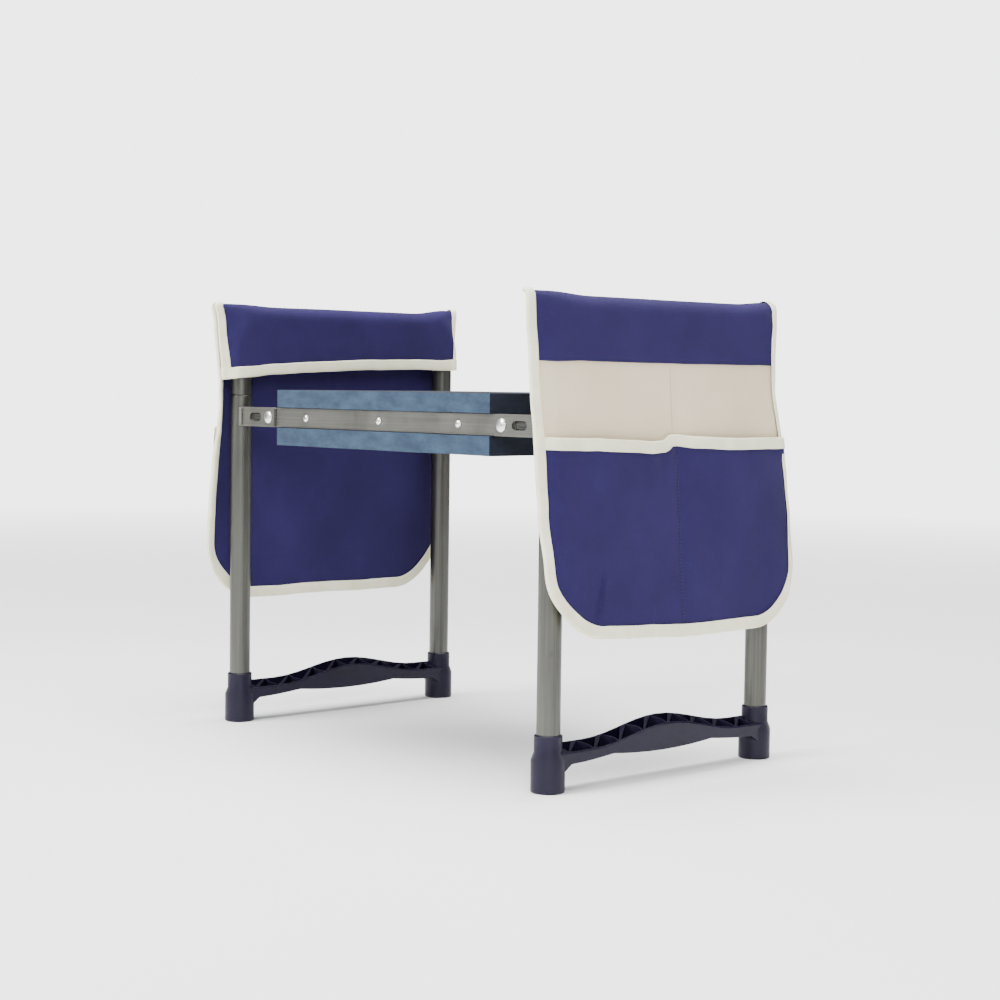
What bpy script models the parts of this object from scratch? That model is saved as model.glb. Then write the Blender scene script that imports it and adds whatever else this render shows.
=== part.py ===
"""Garden kneeler seat: a padded board on two folding end frames, each with a tool pouch.

Metres, +Z up. X runs along the seat, Y from its front edge to its rear edge, and the floor is z = 0.
The model stands in seat mode. Both end frames are the same assembly: the left one is the right one
turned half a turn about Z, but for the foot brace, which lies the same way round on both. Each frame
is built about its own hinge axis, x outward from the seat.
"""

import math

import bmesh
import bpy
from mathutils import Matrix

# Driving dimensions
LEG_SPACING = 0.490  # leg axis to leg axis along the seat
LEG_DEPTH = 0.280  # leg axis to leg axis from front to rear
TUBE_RADIUS = 0.011
TUBE_WALL = 0.0012
HINGE_OFFSET = 0.061  # hinge axis to leg axis
HINGE_HEIGHT = 0.329
FIT_GAP = 0.0003  # left between pieces that touch

# Bow and legs
BOW_JOINT_HEIGHT = 0.3515
BOW_JOINT_GAP = 0.0006
BOW_BEND_RADIUS = 0.050
BOW_AXIS_HEIGHT = 0.434
SPIGOT_RADIUS = 0.0092
SPIGOT_LENGTH = 0.026
LEG_END_HEIGHT = 0.0065
TUBE_SIDES = 24

# Foot brace
CUP_RADIUS = 0.0157
CUP_HEIGHT = 0.0295
COLLAR_RADIUS = 0.0130
SHOULDER_HEIGHT = 0.0365
COLLAR_TOP = 0.052
SOCKET_RADIUS = 0.0113
SOCKET_FLOOR = 0.006
BAR_WIDTH = 0.0256
BAR_WALL = 0.0022
BAR_FLOOR = 0.0030
BAR_ARM_TOP = 0.0378
BAR_HUMP = 0.0142
BAR_HUMP_REACH = 0.100
BAR_HIGH_WALL = 0.0030  # the wall on the left side of each hollow bar stands this much over its outline
BAR_LOW_WALL = 0.0022  # and the wall on the right side this much lower
BAR_HIGH_SHIFT = 0.0125  # how far towards the rear the hump lies at the high wall
BAR_LOW_SHIFT = 0.0045  # and at the low wall
BAR_BELLY_SHIFT = -0.0020
BAR_MIDDLE = 0.034  # a height between the bar's belly and the tops of its walls
BAR_ARM_BOTTOM = 0.0245
BAR_KINK = 0.0656  # where the grip's belly meets the arm, from the middle
BAR_KINK_BOTTOM = 0.0286
BAR_BELLY_BOTTOM = 0.0249
GUSSET_FOOT = 0.0180
GUSSET_REACH = 0.1215
BAR_END = 0.136
RIB_PITCH = 0.032
RIB_START = 0.0048  # where one of the diagonal ribs leaves the outer wall
RIB_THICKNESS = 0.0018
RIB_BOW = 0.0030
DIAGONAL_LEAD = 0.0224  # how far along the bar a diagonal rib runs from wall to wall
CROSS_RIB_NEAR = 0.0298  # from a diagonal's start to the next cross rib, at the outer wall
CROSS_RIB_FAR = 0.0278  # the same at the inner wall
CELL_LIMIT = 0.124
CUTTER_TOP = 0.070

# Seat
BOARD_LENGTH = 0.296
BOARD_THICKNESS = 0.0194
PAD_LENGTH = 0.336
PAD_DEPTH = 0.295
PAD_THICKNESS = 0.0187
RAIL_HEIGHT = 0.020
RAIL_THICKNESS = 0.0025
RAIL_LENGTH = 0.444
RAIL_FACE = 0.1442  # outer face of each rail, from the middle
SCREW_SPACING = 0.1205
SCREW_HEAD_RADIUS = 0.0040
SCREW_SHANK_RADIUS = 0.0020
SCREW_SHANK = 0.0128

# Hinge brackets, rivets and lock springs
PLATE_THICKNESS = 0.0025
PLATE_HEIGHT = 0.0205
PLATE_END = 0.071  # inboard end, from the leg axis
PLATE_ROOT = 0.0104
SLOT_LENGTH = 0.0205
SLOT_HEIGHT = 0.0086
SLOT_CENTRE = 0.03675  # from the leg axis
BEAD_RADIUS = 0.0022
RIVET_HEAD_RADIUS = 0.0065
RIVET_HEAD_HEIGHT = 0.0024
RIVET_SHANK_RADIUS = 0.0029
RIVET_TAIL_RADIUS = 0.0045
RIVET_TAIL_HEIGHT = 0.0018
LUG_LENGTH = 0.0155
LUG_HEIGHT = 0.0070
LEAF_THICKNESS = 0.0008
LEAF_HEIGHT = 0.0145
LEAF_HOLE_RADIUS = 0.0054  # round the pivot rivet's tail
LEAF_INNER_END = 0.154  # from the middle of the seat

# Pouch
CLOTH = 0.0015
POUCH_TOP_CLEARANCE = 0.0006
FLAP_BOTTOM = 0.370
PANEL_BOTTOM = 0.134
PANEL_OUT_BOTTOM = 0.030  # how far the panel stands out from the leg axis at its bottom
POCKET_MOUTH = 0.318
POCKET_BULGE = 0.012
POCKET_STANDOFF = 0.0019  # centre of the pocket cloth from the centre of the panel cloth
CORNER_RADIUS = 0.055
POUCH_COLUMNS = 8
POCKET_COLUMNS = 12

GREY_PAINT = ("grey_paint", (0.235, 0.235, 0.225), 0.38, 0.75)
ZINC = ("bright_zinc", (0.75, 0.75, 0.76), 0.25, 1.0)
SPRING_STEEL = ("spring_steel", (0.30, 0.30, 0.30), 0.35, 1.0)
PLASTIC = ("dark_violet_plastic", (0.026, 0.020, 0.055), 0.45, 0.0)
FOAM = ("slate_blue_foam", (0.115, 0.175, 0.255), 0.90, 0.0)
BOARD = ("seat_board", (0.42, 0.32, 0.20), 0.80, 0.0)
CANVAS = ("navy_canvas", (0.045, 0.045, 0.190), 0.90, 0.0)

# Turns that stand a flat outline up, so that its thickness runs along the named axis
FACING = {
    "X": Matrix(((0, 0, 1), (1, 0, 0), (0, 1, 0))),
    "Y": Matrix(((1, 0, 0), (0, 0, -1), (0, 1, 0))),
    "Z": Matrix.Identity(3),
}


# --- scene helpers -------------------------------------------------------------------------------


def clear_scene():
    for obj in list(bpy.data.objects):
        bpy.data.objects.remove(obj, do_unlink=True)


def new_collection(name):
    collection = bpy.data.collections.new(name)
    bpy.context.scene.collection.children.link(collection)
    return collection


clear_scene()
MODEL = new_collection("garden_kneeler_seat")
CUTTERS = new_collection("cutters")
CUTTERS.hide_render = True


def material(spec):
    name, colour, roughness, metallic = spec
    found = bpy.data.materials.get(name)
    if found:
        return found
    made = bpy.data.materials.new(name)
    made.use_nodes = True
    shader = made.node_tree.nodes["Principled BSDF"]
    shader.inputs["Base Color"].default_value = (*colour, 1.0)
    shader.inputs["Roughness"].default_value = roughness
    shader.inputs["Metallic"].default_value = metallic
    made.diffuse_color = (*colour, 1.0)
    return made


def piece(name, data, spec, parent=None, location=(0, 0, 0)):
    obj = bpy.data.objects.new(name, data)
    obj.data.materials.append(material(spec))
    obj.location = location
    obj.parent = parent
    MODEL.objects.link(obj)
    return obj


def helper(name, data, parent=None, location=(0, 0, 0)):
    obj = bpy.data.objects.new(name, data)
    obj.location = location
    obj.parent = parent
    obj.hide_render = True
    obj.display_type = "WIRE"
    CUTTERS.objects.link(obj)
    return obj


def boolean(obj, operation, other):
    modifier = obj.modifiers.new(f"{operation.lower()} {other.name}", "BOOLEAN")
    modifier.operation = operation
    modifier.solver = "EXACT"
    modifier.object = other


def bevel(obj, width, segments=2, angle=30.0):
    modifier = obj.modifiers.new("rounded edges", "BEVEL")
    modifier.width = width
    modifier.segments = segments
    modifier.limit_method = "ANGLE"
    modifier.angle_limit = math.radians(angle)


def mesh_from(bm, name):
    bmesh.ops.recalc_face_normals(bm, faces=bm.faces)
    mesh = bpy.data.meshes.new(name)
    bm.to_mesh(mesh)
    bm.free()
    mesh.shade_smooth()
    mesh.set_sharp_from_angle(angle=math.radians(35))
    return mesh


# --- shapes --------------------------------------------------------------------------------------


def box_mesh(name, size, centre=(0, 0, 0)):
    bm = bmesh.new()
    bmesh.ops.create_cube(bm, size=1.0)
    bmesh.ops.scale(bm, vec=size, verts=bm.verts)
    bmesh.ops.translate(bm, vec=centre, verts=bm.verts)
    return mesh_from(bm, name)


def outline_curve(name, outlines, thickness):
    curve = bpy.data.curves.new(name, "CURVE")
    curve.dimensions = "2D"
    curve.fill_mode = "BOTH"
    curve.extrude = thickness / 2
    for outline in outlines:
        spline = curve.splines.new("POLY")
        spline.points.add(len(outline) - 1)
        spline.use_cyclic_u = True
        for point, (a, b) in zip(spline.points, outline):
            point.co = (a, b, 0.0, 1.0)
    return curve


def flat_mesh(name, outlines, axis, low, high):
    """A plate from low to high on one axis, its outlines in the other two. Inner outlines are holes."""
    guide = bpy.data.objects.new(name, outline_curve(name, outlines, high - low))
    filled = bpy.data.meshes.new_from_object(guide)
    bpy.data.objects.remove(guide)
    bm = bmesh.new()
    bm.from_mesh(filled)
    bpy.data.meshes.remove(filled)
    bmesh.ops.remove_doubles(bm, verts=bm.verts, dist=1e-6)
    bmesh.ops.dissolve_limit(bm, angle_limit=0.001, verts=bm.verts, edges=bm.edges)
    bmesh.ops.rotate(bm, matrix=FACING[axis], verts=bm.verts)
    middle = (low + high) / 2
    bmesh.ops.translate(bm, vec=[middle if axis == word else 0 for word in "XYZ"], verts=bm.verts)
    return mesh_from(bm, name)


def arc(centre_a, centre_b, radius, start, end, steps):
    """Points on a round stretch, angles in degrees."""
    points = []
    for i in range(steps + 1):
        angle = math.radians(start + (end - start) * i / steps)
        points.append((centre_a + radius * math.cos(angle), centre_b + radius * math.sin(angle)))
    return points


def rounded_rectangle(centre_a, centre_b, length, height, radius, steps=4):
    half_a = length / 2 - radius
    half_b = height / 2 - radius
    corners = ((half_a, half_b, 0), (-half_a, half_b, 90), (-half_a, -half_b, 180), (half_a, -half_b, 270))
    points = []
    for a, b, start in corners:
        points += arc(centre_a + a, centre_b + b, radius, start, start + 90, steps)
    return points


def stadium(centre_a, centre_b, length, height, steps=8):
    reach = (length - height) / 2
    points = arc(centre_a + reach, centre_b, height / 2, -90, 90, steps)
    points += arc(centre_a - reach, centre_b, height / 2, 90, 270, steps)
    return points


def circle(centre_a, centre_b, radius, steps=16):
    return arc(centre_a, centre_b, radius, 0, 360, steps)[:-1]


def turned_mesh(name, profile, closed):
    """The half section of a turned piece: (radius, height) points, outer side first, top to bottom."""
    bm = bmesh.new()
    verts = [bm.verts.new((radius, 0, height)) for radius, height in profile]
    for first, second in zip(verts, verts[1:]):
        bm.edges.new((first, second))
    if closed:
        bm.edges.new((verts[-1], verts[0]))
    mesh = bpy.data.meshes.new(name)
    bm.to_mesh(mesh)
    bm.free()
    return mesh


def turn(obj, steps):
    modifier = obj.modifiers.new("turned", "SCREW")
    modifier.axis = "Z"
    modifier.angle = math.tau
    modifier.steps = steps
    modifier.render_steps = steps
    modifier.use_merge_vertices = True
    modifier.merge_threshold = 0.00001
    modifier.use_smooth_shade = True


# --- end frame -----------------------------------------------------------------------------------


def above_hinge(height):
    """Height above the floor as height above the hinge axis."""
    return height - HINGE_HEIGHT


def bow_path():
    """Centreline of the inverted U, from the front leg's top to the rear leg's top."""
    half = LEG_DEPTH / 2
    turn_centre = above_hinge(BOW_AXIS_HEIGHT) - BOW_BEND_RADIUS
    bottom = above_hinge(BOW_JOINT_HEIGHT) + BOW_JOINT_GAP
    path = [(-half, bottom)]
    path += arc(-half + BOW_BEND_RADIUS, turn_centre, BOW_BEND_RADIUS, 180, 90, 8)
    path += arc(half - BOW_BEND_RADIUS, turn_centre, BOW_BEND_RADIUS, 90, 0, 8)
    path.append((half, bottom))
    return [(HINGE_OFFSET, y, z) for y, z in path]


def make_bow(name, frame):
    curve = bpy.data.curves.new(name, "CURVE")
    curve.dimensions = "3D"
    path = bow_path()
    spline = curve.splines.new("POLY")
    spline.points.add(len(path) - 1)
    for point, place in zip(spline.points, path):
        point.co = (*place, 1.0)
    curve.bevel_depth = TUBE_RADIUS
    curve.bevel_resolution = 6
    obj = piece(name, curve, GREY_PAINT, frame)
    wall = obj.modifiers.new("tube wall", "SOLIDIFY")
    wall.thickness = TUBE_WALL
    wall.offset = -1.0


def make_leg(name, frame, y):
    top = above_hinge(BOW_JOINT_HEIGHT)
    foot = above_hinge(LEG_END_HEIGHT)
    bore = TUBE_RADIUS - TUBE_WALL
    spigot_bore = SPIGOT_RADIUS - TUBE_WALL
    profile = [
        (SPIGOT_RADIUS, top + SPIGOT_LENGTH),
        (SPIGOT_RADIUS, top),
        (TUBE_RADIUS - 0.0007, top),
        (TUBE_RADIUS, top - 0.0007),
        (TUBE_RADIUS, foot),
        (bore, foot),
        (bore, top - 0.003),
        (spigot_bore, top - 0.001),
        (spigot_bore, top + SPIGOT_LENGTH),
    ]
    obj = piece(name, turned_mesh(name, profile, True), GREY_PAINT, frame, (HINGE_OFFSET, y, 0))
    turn(obj, TUBE_SIDES)


def bar_top(y):
    """Height of the grip bar's walls: straight arms and a hump over the middle."""
    reach = min(abs(y) / BAR_HUMP_REACH, 1.0)
    return BAR_ARM_TOP + BAR_HUMP * (1 + math.cos(math.pi * reach)) / 2


def bar_bottom(y):
    """Height of the grip bar's underside, inside the gussets."""
    reach = abs(y)
    if reach < BAR_KINK:
        return BAR_BELLY_BOTTOM + (BAR_KINK_BOTTOM - BAR_BELLY_BOTTOM) * (reach / BAR_KINK) ** 2
    along = min((GUSSET_REACH - reach) / (GUSSET_REACH - BAR_KINK), 1.0)
    return BAR_ARM_BOTTOM + (BAR_KINK_BOTTOM - BAR_ARM_BOTTOM) * max(along, 0.0) ** 1.6


def bar_outline():
    """Side outline of the grip bar as (y, height), round from the front end."""
    half_top = [0.0, 0.014, 0.028, 0.042, 0.056, 0.070, 0.085, 0.100, BAR_END]
    half_low = [0.0, 0.020, 0.038, 0.053, BAR_KINK, 0.078, 0.091, 0.104, GUSSET_REACH]
    cup_face = LEG_DEPTH / 2 - math.sqrt(CUP_RADIUS**2 - (BAR_WIDTH / 2) ** 2)
    upper = [(y, bar_top(y)) for y in half_top]
    lower = [(y, bar_bottom(y)) for y in half_low]
    lower += [(cup_face, GUSSET_FOOT), (BAR_END, GUSSET_FOOT - 0.004)]
    rear = upper + lower[::-1]
    front = [(-y, z) for y, z in (lower[1:] + upper[:0:-1])]
    return rear + front


def cell_outlines():
    """Plan outlines of the hollows between the diagonal ribs and the bowed cross ribs, along the whole bar."""
    half = BAR_WIDTH / 2 - BAR_WALL
    half_rib = RIB_THICKNESS / 2
    half_diagonal = half_rib * math.hypot(2 * half, DIAGONAL_LEAD) / (2 * half)
    shares = [0.0, 0.2, 0.4, 0.6, 0.8, 0.97]

    def cross_rib(start, share, side):
        y = CROSS_RIB_NEAR + (CROSS_RIB_FAR - CROSS_RIB_NEAR) * share + RIB_BOW * math.sin(math.pi * share)
        return (half - 2 * half * share, start + y + side * half_rib)

    cells = []
    for k in range(-5, 4):
        start = RIB_START + k * RIB_PITCH
        outer = [(half, start + half_diagonal)]
        outer += [cross_rib(start, share, -1) for share in shares]
        inner = [(-half, start + RIB_PITCH + DIAGONAL_LEAD - half_diagonal)]
        inner += [cross_rib(start, 1 - share, 1) for share in shares]
        cells += [outer, inner]
    return cells


def channel_outline():
    """Side outline of the space inside the bar: its floor runs a wall's thickness above the underside."""
    ys = [-CELL_LIMIT + 2 * CELL_LIMIT * i / 16 for i in range(17)]
    floor = [(y, bar_bottom(y) + BAR_FLOOR) for y in ys]
    return floor + [(CELL_LIMIT, CUTTER_TOP), (-CELL_LIMIT, CUTTER_TOP)]


def leaning_bar(name, outline, end):
    """The side outline across the bar's width, with one wall higher than the other and its hump further back."""
    half = BAR_WIDTH / 2
    mesh = flat_mesh(name, [outline], "X", -half, half)
    for vertex in mesh.vertices:
        share = min((CELL_LIMIT - abs(vertex.co.y)) / (CELL_LIMIT - BAR_HUMP_REACH), 1.0)
        high = end * vertex.co.x < 0
        shift = BAR_BELLY_SHIFT
        if vertex.co.z > BAR_MIDDLE:
            shift = BAR_HIGH_SHIFT if high else BAR_LOW_SHIFT
            vertex.co.z += BAR_HIGH_WALL if high else -BAR_LOW_WALL
        vertex.co.y += end * shift * max(share, 0.0)
    return mesh


def make_cells(name, frame, place, end):
    cells = helper(name, flat_mesh(name, cell_outlines(), "Z", 0.0, CUTTER_TOP - 0.001), frame, place)
    channel = leaning_bar(name + "_channel", channel_outline(), end)
    boolean(cells, "INTERSECT", helper(name + "_channel", channel, frame, place))
    return cells


def make_foot_brace(name, frame, end):
    """Both braces lie the same way round, so end turns the left one back within its turned frame."""
    floor = (HINGE_OFFSET, 0, -HINGE_HEIGHT)
    obj = piece(name, leaning_bar(name, bar_outline(), end), PLASTIC, frame, floor)
    bevel(obj, 0.001)
    cup_profile = [
        (0.0, COLLAR_TOP),
        (COLLAR_RADIUS - 0.0008, COLLAR_TOP),
        (COLLAR_RADIUS, COLLAR_TOP - 0.0008),
        (COLLAR_RADIUS, SHOULDER_HEIGHT),
        (CUP_RADIUS, CUP_HEIGHT),
        (CUP_RADIUS, 0.001),
        (CUP_RADIUS - 0.001, 0.0),
        (0.0, 0.0),
    ]
    socket_profile = [(0.0, COLLAR_TOP + 0.01), (SOCKET_RADIUS, COLLAR_TOP + 0.01)]
    socket_profile += [(SOCKET_RADIUS, SOCKET_FLOOR), (0.0, SOCKET_FLOOR)]
    boolean(obj, "DIFFERENCE", make_cells(name + "_cells", frame, floor, end))
    for end, y in (("a", -LEG_DEPTH / 2), ("b", LEG_DEPTH / 2)):
        place = (HINGE_OFFSET, y, -HINGE_HEIGHT)
        cup = helper(f"{name}_cup_{end}", turned_mesh("cup", cup_profile, False), frame, place)
        turn(cup, TUBE_SIDES)
        boolean(obj, "UNION", cup)
        socket = helper(f"{name}_socket_{end}", turned_mesh("socket", socket_profile, False), frame, place)
        turn(socket, TUBE_SIDES)
        boolean(obj, "DIFFERENCE", socket)


def make_bracket(name, frame, side):
    """The plate behind which the rail's end lies, with its weld bead on the leg. side is -1 or 1 in Y."""
    half = PLATE_HEIGHT / 2
    outline = [(HINGE_OFFSET - PLATE_ROOT, -half), (HINGE_OFFSET - PLATE_ROOT, half)]
    outline += arc(HINGE_OFFSET - PLATE_END + 0.002, half - 0.002, 0.002, 90, 180, 3)
    outline += arc(HINGE_OFFSET - PLATE_END + 0.002, -half + 0.002, 0.002, 180, 270, 3)
    inner = RAIL_FACE + FIT_GAP
    slot = stadium(HINGE_OFFSET - SLOT_CENTRE, 0, SLOT_LENGTH, SLOT_HEIGHT)
    hole = circle(0, 0, RIVET_SHANK_RADIUS + FIT_GAP)
    faces = sorted((side * inner, side * (inner + PLATE_THICKNESS)))
    obj = piece(name, flat_mesh(name, [outline, slot, hole], "Y", *faces), GREY_PAINT, frame)
    reach = TUBE_RADIUS + FIT_GAP + BEAD_RADIUS
    out = inner + PLATE_THICKNESS + 0.0010 - LEG_DEPTH / 2
    bead_x = HINGE_OFFSET - math.sqrt(reach * reach - out * out)
    bm = bmesh.new()
    bmesh.ops.create_cone(
        bm, cap_ends=True, segments=12, radius1=BEAD_RADIUS, radius2=BEAD_RADIUS, depth=PLATE_HEIGHT - 0.001
    )
    bead = helper(name + "_bead", mesh_from(bm, "bead"), frame, (bead_x, side * (LEG_DEPTH / 2 + out), 0))
    bevel(bead, 0.0009)
    boolean(obj, "UNION", bead)


def dome(radius, height, steps=5):
    """Half section of a domed head with its flat side at height 0, from the crown outward."""
    points = []
    for i in range(steps + 1):
        angle = math.radians(90 * i / steps)
        points.append((radius * math.sin(angle), height * (0.25 + 0.75 * math.cos(angle))))
    return points


def face_outward(obj, side):
    """Turns a piece made along Z so that its head faces away from the seat's middle line."""
    obj.rotation_euler = (math.radians(-90 * side), 0, 0)


def make_rivet(name, frame, side):
    grip = PLATE_THICKNESS + RAIL_THICKNESS + 3 * FIT_GAP
    profile = dome(RIVET_HEAD_RADIUS, RIVET_HEAD_HEIGHT)
    profile += [(RIVET_HEAD_RADIUS, 0.0), (RIVET_SHANK_RADIUS, 0.0), (RIVET_SHANK_RADIUS, -grip)]
    profile += [(RIVET_TAIL_RADIUS, -grip), (RIVET_TAIL_RADIUS - 0.001, -grip - RIVET_TAIL_HEIGHT)]
    profile.append((0.0, -grip - RIVET_TAIL_HEIGHT))
    seat_face = RAIL_FACE + PLATE_THICKNESS + 2 * FIT_GAP
    obj = piece(name, turned_mesh(name, profile, False), ZINC, frame, (0, side * seat_face, 0))
    turn(obj, 16)
    face_outward(obj, side)


# --- pouch ---------------------------------------------------------------------------------------


def between(value, stations):
    """Straight interpolation through (place, size) stations that run from high to low."""
    for (high, at_high), (low, at_low) in zip(stations, stations[1:]):
        if value >= low:
            share = (high - value) / (high - low)
            return at_high + min(max(share, 0.0), 1.0) * (at_low - at_high)
    return stations[-1][1]


def pouch_half_width(height):
    """Half the pouch's width in Y at a height above the floor, with its bottom corners round."""
    width = between(height, [(0.447, 0.162), (0.385, 0.157), (0.318, 0.164), (0.240, 0.168), (0.189, 0.168)])
    drop = PANEL_BOTTOM + CORNER_RADIUS - height
    if drop > 0:
        drop = min(drop, CORNER_RADIUS)
        width += math.sqrt(CORNER_RADIUS**2 - drop**2) - CORNER_RADIUS
    return width


def fold_radius():
    return TUBE_RADIUS + POUCH_TOP_CLEARANCE + CLOTH / 2


def panel_out(height):
    """How far the outer panel stands out from the leg axis."""
    share = (BOW_AXIS_HEIGHT - height) / (BOW_AXIS_HEIGHT - PANEL_BOTTOM)
    return fold_radius() + share * (PANEL_OUT_BOTTOM - fold_radius())


def pouch_section():
    """The pouch's section as (distance out from the leg axis, height): flap, fold over the bow, panel."""
    flap = [(-fold_radius() - 0.001, height) for height in (FLAP_BOTTOM, 0.390, 0.412)]
    fold = arc(0.0, BOW_AXIS_HEIGHT, fold_radius(), 180, 0, 8)
    heights = [0.411, 0.385, 0.352, 0.318, 0.279, 0.240, 0.212, 0.189, 0.168, 0.152, 0.141, 0.1355, PANEL_BOTTOM]
    return flap + fold + [(panel_out(height), height) for height in heights]


def make_cloth(name, frame, columns, rows, place):
    """A grid of columns x rows cells laid out by place(share across, row number), as cloth of even thickness."""
    bm = bmesh.new()
    bmesh.ops.create_grid(bm, x_segments=columns, y_segments=rows, size=0.5)
    for vert in bm.verts:
        vert.co = place(vert.co.x + 0.5, round((vert.co.y + 0.5) * rows))
    obj = piece(name, mesh_from(bm, name), CANVAS, frame)
    cloth = obj.modifiers.new("cloth", "SOLIDIFY")
    cloth.thickness = CLOTH
    cloth.offset = 0.0


def make_pouch(name, frame):
    section = pouch_section()

    def place(across, row):
        out, height = section[row]
        return (HINGE_OFFSET + out, pouch_half_width(height) * (2 * across - 1), above_hinge(height))

    make_cloth(name, frame, POUCH_COLUMNS, len(section) - 1, place)


def pocket_out(share_across, height):
    """How far the pocket cloth stands out: sewn down at both sides, the middle seam and the bottom."""
    across = math.sin(math.pi * (2 * share_across % 1.0)) if share_across % 0.5 else 0.0
    rise = (height - PANEL_BOTTOM) / (POCKET_MOUTH - PANEL_BOTTOM)
    bulge = POCKET_BULGE * max(across, 0.0) ** 0.7 * math.sin(math.pi / 2 * rise) ** 0.8
    return panel_out(height) + POCKET_STANDOFF + bulge


def make_pockets(name, frame):
    heights = [PANEL_BOTTOM + 0.001, 0.1375, 0.145, 0.157, 0.175, 0.200, 0.235, 0.275, POCKET_MOUTH]

    def place(across, row):
        height = heights[row]
        half = pouch_half_width(height) - 0.0008
        return (HINGE_OFFSET + pocket_out(across, height), half * (2 * across - 1), above_hinge(height))

    make_cloth(name, frame, POCKET_COLUMNS, len(heights) - 1, place)


# --- seat ----------------------------------------------------------------------------------------


def rail_name(side):
    return "front" if side < 0 else "rear"


def make_board():
    depth = 2 * (RAIL_FACE - RAIL_THICKNESS - FIT_GAP)
    mesh = box_mesh("seat_board", (BOARD_LENGTH, depth, BOARD_THICKNESS), (0, 0, HINGE_HEIGHT))
    board = piece("seat_board", mesh, BOARD)
    holes = []
    for k in (-1, 0, 1):
        holes.append(circle(k * SCREW_SPACING, HINGE_HEIGHT, SCREW_SHANK_RADIUS + FIT_GAP, 8))
    for side in (-1, 1):
        low, high = sorted((side * (depth / 2 + 0.002), side * (depth / 2 - 0.014)))
        name = f"pilot_holes_{rail_name(side)}"
        boolean(board, "DIFFERENCE", helper(name, flat_mesh(name, holes, "Y", low, high)))


def make_pads():
    gap = BOARD_THICKNESS / 2 + FIT_GAP + PAD_THICKNESS / 2 + FIT_GAP
    for name, height in (("upper_pad", HINGE_HEIGHT + gap), ("lower_pad", HINGE_HEIGHT - gap)):
        mesh = box_mesh(name, (PAD_LENGTH, PAD_DEPTH, PAD_THICKNESS), (0, 0, height))
        bevel(piece(name, mesh, FOAM), 0.0015)


def make_rail(side):
    name = f"{rail_name(side)}_rail"
    outlines = [rounded_rectangle(0, HINGE_HEIGHT, RAIL_LENGTH, RAIL_HEIGHT, 0.003, 3)]
    for k in (-1, 0, 1):
        outlines.append(circle(k * SCREW_SPACING, HINGE_HEIGHT, SCREW_SHANK_RADIUS + FIT_GAP, 8))
    hinge_x = LEG_SPACING / 2 - HINGE_OFFSET
    slot_x = LEG_SPACING / 2 - SLOT_CENTRE
    window = (LUG_LENGTH + 0.002, LUG_HEIGHT + 0.0014, 0.0025, 3)
    for end in (-1, 1):
        outlines.append(circle(end * hinge_x, HINGE_HEIGHT, RIVET_SHANK_RADIUS + FIT_GAP))
        outlines.append(rounded_rectangle(end * slot_x, HINGE_HEIGHT, *window))
    low, high = sorted((side * RAIL_FACE, side * (RAIL_FACE - RAIL_THICKNESS)))
    piece(name, flat_mesh(name, outlines, "Y", low, high), GREY_PAINT)


def make_screw(name, x, side):
    profile = dome(SCREW_HEAD_RADIUS, 0.0022, 4)
    profile += [(SCREW_HEAD_RADIUS, 0.0), (SCREW_SHANK_RADIUS, 0.0)]
    profile += [(SCREW_SHANK_RADIUS, -SCREW_SHANK + 0.002), (0.0, -SCREW_SHANK)]
    place = (x, side * (RAIL_FACE + FIT_GAP), HINGE_HEIGHT)
    obj = piece(name, turned_mesh(name, profile, False), ZINC, None, place)
    turn(obj, 12)
    face_outward(obj, side)


def make_lock_spring(name, end, side):
    """A leaf behind the rail's end with the raised lug that comes through the rail's window."""
    back = RAIL_FACE - RAIL_THICKNESS - FIT_GAP
    outer = RAIL_LENGTH / 2 - 0.001
    middle = end * (outer + LEAF_INNER_END) / 2
    leaf = rounded_rectangle(middle, 0, outer - LEAF_INNER_END, LEAF_HEIGHT, 0.002, 3)
    hole = circle(end * (LEG_SPACING / 2 - HINGE_OFFSET), 0, LEAF_HOLE_RADIUS)
    low, high = sorted((side * back, side * (back - LEAF_THICKNESS)))
    place = (0, 0, HINGE_HEIGHT)
    obj = piece(name, flat_mesh(name, [leaf, hole], "Y", low, high), SPRING_STEEL, None, place)
    lug = rounded_rectangle(end * (LEG_SPACING / 2 - SLOT_CENTRE), 0, LUG_LENGTH, LUG_HEIGHT, 0.0022, 4)
    low, high = sorted((side * RAIL_FACE, side * (back - LEAF_THICKNESS / 2)))
    boss = helper(name + "_lug", flat_mesh(name + "_lug", [lug], "Y", low, high), None, place)
    bevel(boss, 0.0005, 2, 60)
    boolean(obj, "UNION", boss)


def make_seat():
    make_board()
    make_pads()
    for side in (-1, 1):
        make_rail(side)
        for word, k in (("left", -1), ("middle", 0), ("right", 1)):
            make_screw(f"{rail_name(side)}_rail_screw_{word}", k * SCREW_SPACING, side)
        for word, end in (("left", -1), ("right", 1)):
            make_lock_spring(f"{word}_{rail_name(side)}_lock_spring", end, side)


def make_end_frame(word, end):
    """word is left or right; end is -1 or 1, and turns the left frame half a turn."""
    frame = bpy.data.objects.new(f"{word}_frame_hinge", None)
    frame.location = (end * (LEG_SPACING / 2 - HINGE_OFFSET), 0, HINGE_HEIGHT)
    frame.rotation_euler = (0, 0, 0 if end > 0 else math.pi)
    MODEL.objects.link(frame)
    make_bow(f"{word}_bow", frame)
    make_foot_brace(f"{word}_foot_brace", frame, end)
    make_pouch(f"{word}_pouch", frame)
    make_pockets(f"{word}_pouch_pockets", frame)
    for side in (-1, 1):
        place = rail_name(side * end)
        make_leg(f"{word}_{place}_leg", frame, side * LEG_DEPTH / 2)
        make_bracket(f"{word}_{place}_hinge_bracket", frame, side)
        make_rivet(f"{word}_{place}_pivot_rivet", frame, side)


make_seat()
make_end_frame("left", -1)
make_end_frame("right", 1)
bpy.context.view_layer.update()
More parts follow.
